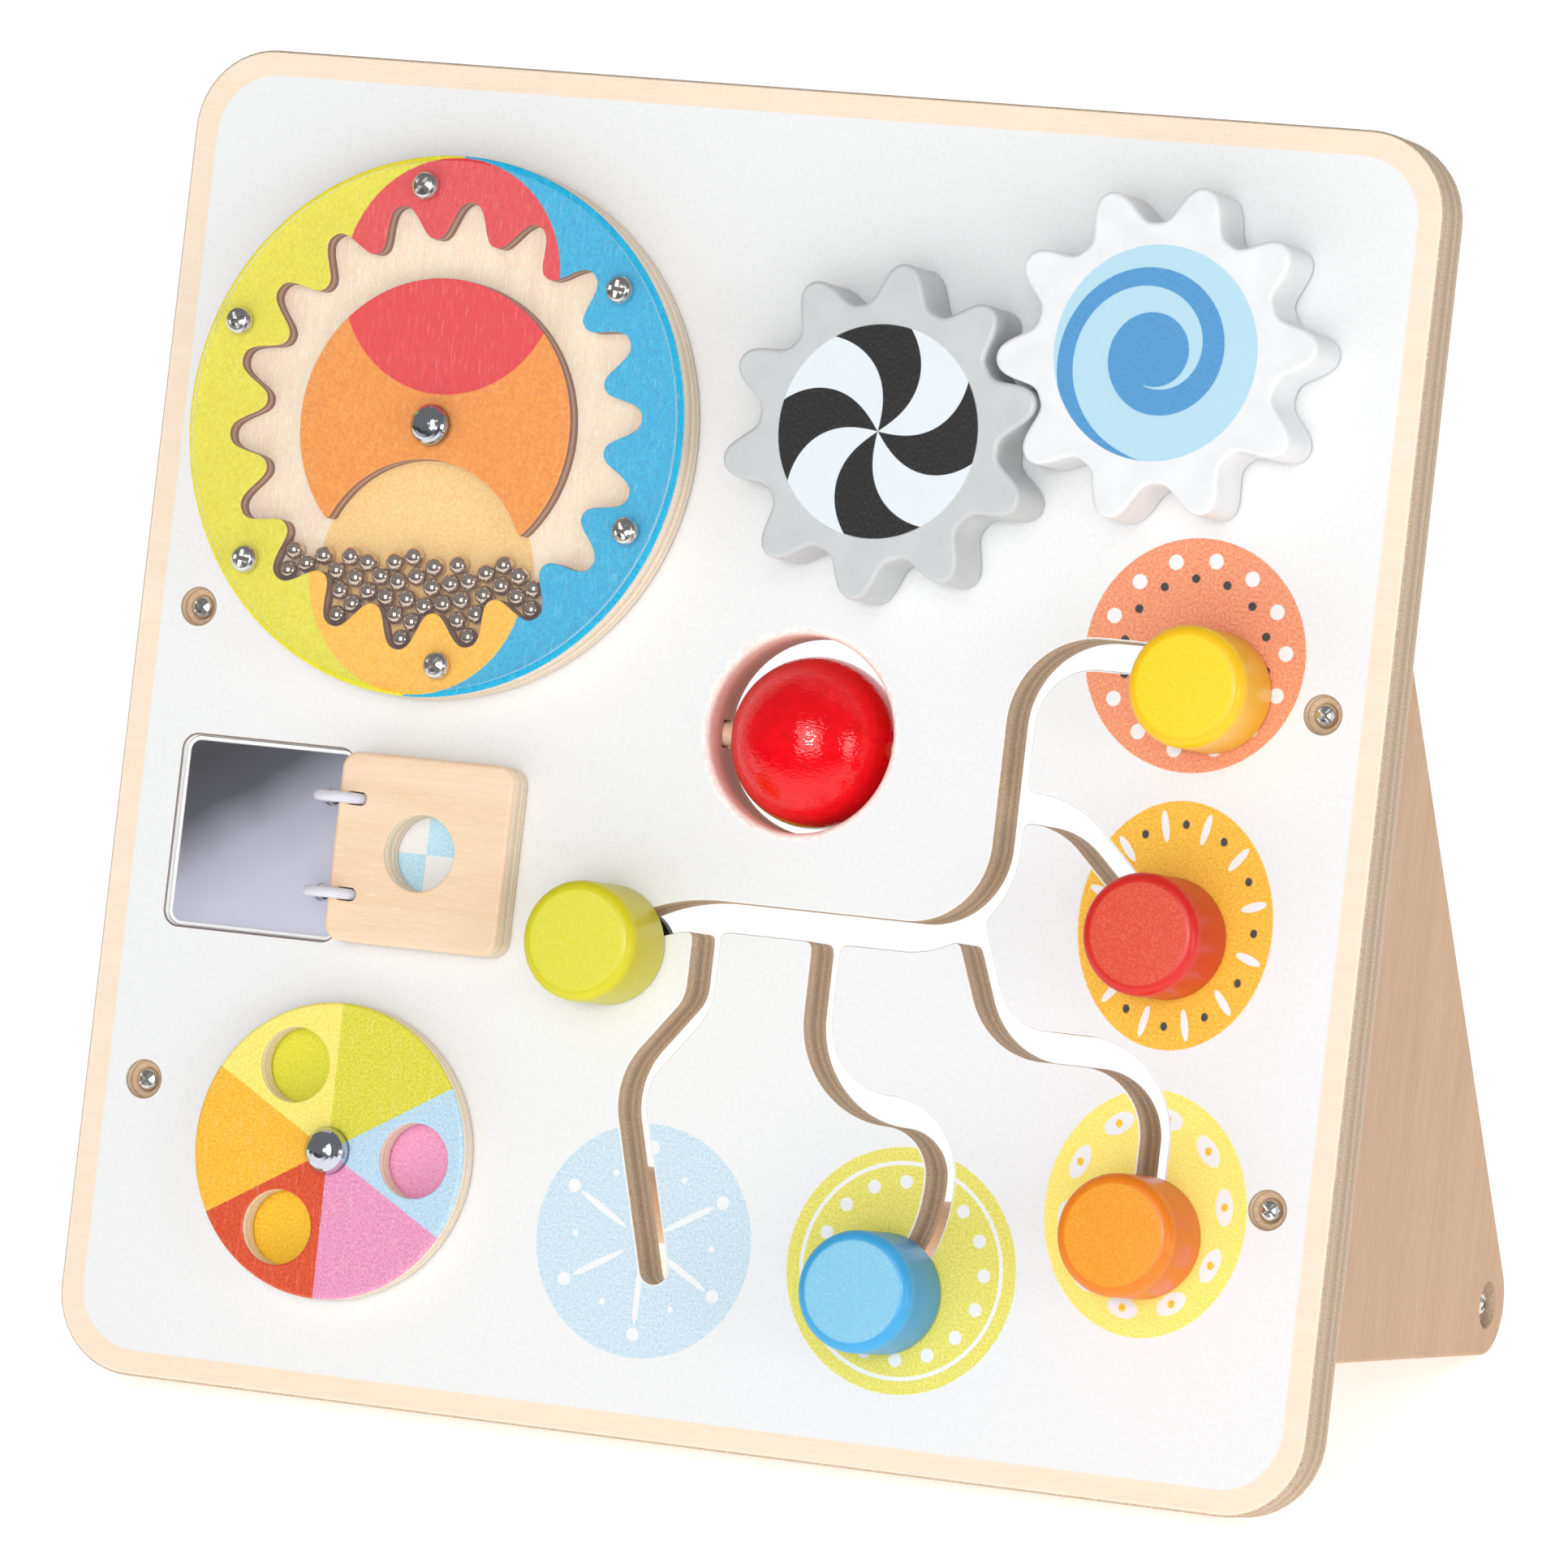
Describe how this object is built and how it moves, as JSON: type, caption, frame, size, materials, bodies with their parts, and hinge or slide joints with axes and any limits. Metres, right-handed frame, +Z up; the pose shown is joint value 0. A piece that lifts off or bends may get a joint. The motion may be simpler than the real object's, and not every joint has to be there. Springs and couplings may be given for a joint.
{
  "type": "wooden busy board",
  "caption": "Leaning wooden activity board with a ball drum, meshing gears, rolling ball, mirror under a hinged flap, spinner disc and knobs in a branching slot.",
  "frame": {"origin": "centre of the bounding box's bottom, on the table between the board's lower edge and the panels' feet", "axes": "+X to the board's right as the child sees it, +Y from the child towards the rear feet, +Z up"},
  "size_m": [0.34, 0.1883, 0.3292],
  "materials": {
    "printed_board": "white print under clear lacquer on birch ply, bare ply at the rim and rear",
    "birch": "satin",
    "pale_birch": "satin",
    "lime_print": "printed birch ply",
    "hub_print": "printed birch ply",
    "spinner_print": "printed in six coloured sectors",
    "grey_print": "grey paint with a black and white pinwheel print",
    "white_print": "white paint with a blue spiral print",
    "clear_acrylic": "clear",
    "polished_steel": "polished",
    "plated_steel": "plated",
    "ball_paint": "gloss paint, red in front and yellow orange behind",
    "mirror": "polished",
    "clear_cord": "translucent",
    "lime_paint": "gloss paint",
    "yellow_paint": "gloss paint",
    "red_paint": "gloss paint",
    "orange_paint": "gloss paint",
    "blue_paint": "gloss paint",
    "black_disc": "matt"
  },
  "bodies": {
    "stand_board": {"board": "printed_board", "left_side_panel": "birch", "right_side_panel": "birch", "rear_crossbar": "birch", "panel_screws": "plated_steel", "crossbar_screws": "plated_steel", "drum_bolt": "plated_steel", "drum_washers": "plated_steel", "drum_nut": "plated_steel", "spinner_bolt": "plated_steel", "spinner_washers": "plated_steel", "spinner_nut": "plated_steel", "gear_spacers": "plated_steel", "ball_axle": "birch", "axle_keepers": "birch", "keeper_screws": "plated_steel", "mirror_plate": "mirror", "upper_hinge_loop": "clear_cord", "lower_hinge_loop": "clear_cord"},
    "ball_drum": {"drum_base": "pale_birch", "drum_ring": "lime_print", "drum_hub": "hub_print", "steel_balls": "polished_steel", "drum_cover": "clear_acrylic", "drum_cover_screws": "plated_steel"},
    "spinner": {"spinner_disc": "spinner_print"},
    "grey_gear_and_pin": {"grey_gear": "grey_print", "grey_gear_pin": "birch", "grey_gear_washer": "plated_steel", "grey_gear_screw": "plated_steel"},
    "white_gear_and_pin": {"white_gear": "white_print", "white_gear_pin": "birch", "white_gear_washer": "plated_steel", "white_gear_screw": "plated_steel"},
    "ball": {"rolling_ball": "ball_paint"},
    "flap": {"mirror_flap": "birch"},
    "lime_slider": {"lime_knob": "lime_paint", "lime_peg": "birch", "lime_retainer": "black_disc", "lime_screw": "plated_steel"},
    "yellow_slider": {"yellow_knob": "yellow_paint", "yellow_peg": "birch", "yellow_retainer": "black_disc", "yellow_screw": "plated_steel"},
    "red_slider": {"red_knob": "red_paint", "red_peg": "birch", "red_retainer": "black_disc", "red_screw": "plated_steel"},
    "orange_slider": {"orange_knob": "orange_paint", "orange_peg": "birch", "orange_retainer": "black_disc", "orange_screw": "plated_steel"},
    "blue_slider": {"blue_knob": "blue_paint", "blue_peg": "birch", "blue_retainer": "black_disc", "blue_screw": "plated_steel"}
  },
  "joints": [
    {"name": "drum_turn", "type": "hinge", "parent": "stand_board", "child": "ball_drum", "pos_m": [-0.088, -0.00973, 0.24038], "axis": [0, -0.9553, 0.2958], "continuous": true},
    {"name": "spinner_turn", "type": "hinge", "parent": "stand_board", "child": "spinner", "pos_m": [-0.096, -0.06421, 0.06443], "axis": [0, -0.9553, 0.2958], "continuous": true},
    {"name": "grey_gear_turn", "type": "hinge", "parent": "stand_board", "child": "grey_gear_and_pin", "pos_m": [0.0355, -0.00742, 0.24783], "axis": [0, -0.9553, 0.2958], "continuous": true},
    {"name": "white_gear_turn", "type": "hinge", "parent": "stand_board", "child": "white_gear_and_pin", "pos_m": [0.1061, -0.00003, 0.27172], "axis": [0, -0.9553, 0.2958], "continuous": true},
    {"name": "ball_roll", "type": "hinge", "parent": "stand_board", "child": "ball", "pos_m": [0.0162, -0.0188, 0.17086], "axis": [1, 0, 0], "continuous": true},
    {"name": "flap_swing", "type": "hinge", "parent": "stand_board", "child": "flap", "pos_m": [-0.1038, -0.04608, 0.13921], "axis": [0, -0.2958, -0.9553], "range_deg": [0, 180]},
    {"name": "lime_slider_arc", "type": "hinge", "parent": "stand_board", "child": "lime_slider", "pos_m": [0, -0.05702, 0.08764], "axis": [0, 0.9553, -0.2958], "range_deg": [0, 39]},
    {"name": "yellow_slider_arc", "type": "hinge", "parent": "stand_board", "child": "yellow_slider", "pos_m": [0.103, -0.03318, 0.16463], "axis": [0, -0.9553, 0.2958], "range_deg": [0, 34.2]},
    {"name": "red_slider_run", "type": "slide", "parent": "stand_board", "child": "red_slider", "axis": [-0.7314, 0.2017, 0.6515], "range_m": [0, 0.0322]},
    {"name": "orange_slider_run", "type": "slide", "parent": "stand_board", "child": "orange_slider", "axis": [0, 0.2958, 0.9553], "range_m": [0, 0.0231]},
    {"name": "blue_slider_arc", "type": "hinge", "parent": "stand_board", "child": "blue_slider", "pos_m": [0.026, -0.06149, 0.07322], "axis": [0, -0.9553, 0.2958], "range_deg": [0, 43.1]}
  ],
  "couplings": [
    {"joint": "white_gear_turn", "follows": "grey_gear_turn", "ratio": -1}
  ]
}
